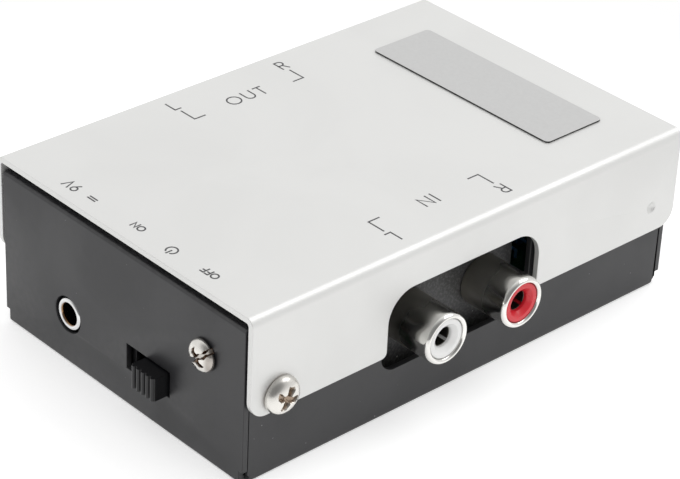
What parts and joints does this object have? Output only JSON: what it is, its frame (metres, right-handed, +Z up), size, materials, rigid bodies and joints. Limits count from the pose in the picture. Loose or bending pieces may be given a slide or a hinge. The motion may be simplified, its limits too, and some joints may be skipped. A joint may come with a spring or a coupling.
{
  "type": "phono preamp",
  "caption": "Small turntable preamp in a folded steel case with phono sockets on both sides, a power socket, slide switch and ground screw",
  "frame": {"origin": "centre of the underside of the case, on the surface it stands on", "axes": "+Z up; +Y towards the end with the power socket and switch; +X towards the output sockets, -X towards the inputs"},
  "size_m": [0.0698, 0.0929, 0.0295],
  "materials": {
    "silver_paint": "satin",
    "black_paint": "satin",
    "label_metal": "satin",
    "nickel": "polished",
    "zinc": "plain",
    "black_plastic": "textured",
    "white_plastic": "gloss",
    "red_plastic": "gloss",
    "contact_metal": "polished",
    "board_laminate": "satin",
    "phenolic": "plain",
    "sleeve": "gloss",
    "film_box": "gloss",
    "ceramic": "plain",
    "resistor_coat": "satin"
  },
  "bodies": {
    "case": {"tray": "black_paint", "cover": "silver_paint", "label_plate": "label_metal", "cover_screws": "nickel", "ground_nut": "zinc", "board": "board_laminate", "board_standoffs": "zinc", "board_screws": "nickel", "input_jack_housing": "black_plastic", "input_jack_shells": "nickel", "input_jack_insulator_white": "white_plastic", "input_jack_insulator_red": "red_plastic", "input_jack_contacts": "contact_metal", "output_jack_housing": "black_plastic", "output_jack_shells": "nickel", "output_jack_insulator_white": "white_plastic", "output_jack_insulator_red": "red_plastic", "output_jack_contacts": "contact_metal", "power_socket_body": "black_plastic", "power_socket_bushing": "nickel", "power_socket_pins": "zinc", "switch_housing": "black_plastic", "switch_base": "phenolic", "switch_terminals": "zinc", "op_amp": "black_plastic", "electrolytic_capacitors": "sleeve", "film_capacitors": "film_box", "ceramic_capacitors": "ceramic", "resistors": "resistor_coat", "diode": "black_plastic"},
    "switch_slider": {"switch_knob": "black_plastic", "switch_wiper": "contact_metal"},
    "ground_screw": {"ground_screw": "nickel"}
  },
  "joints": [
    {"name": "power_switch", "type": "slide", "parent": "case", "child": "switch_slider", "axis": [1, 0, 0], "range_m": [0, 0.0042]},
    {"name": "ground_screw_turn", "type": "hinge", "parent": "case", "child": "ground_screw", "pos_m": [-0.0198, 0.045, 0.0184], "axis": [0, 1, 0], "range_deg": [0, 720]}
  ]
}
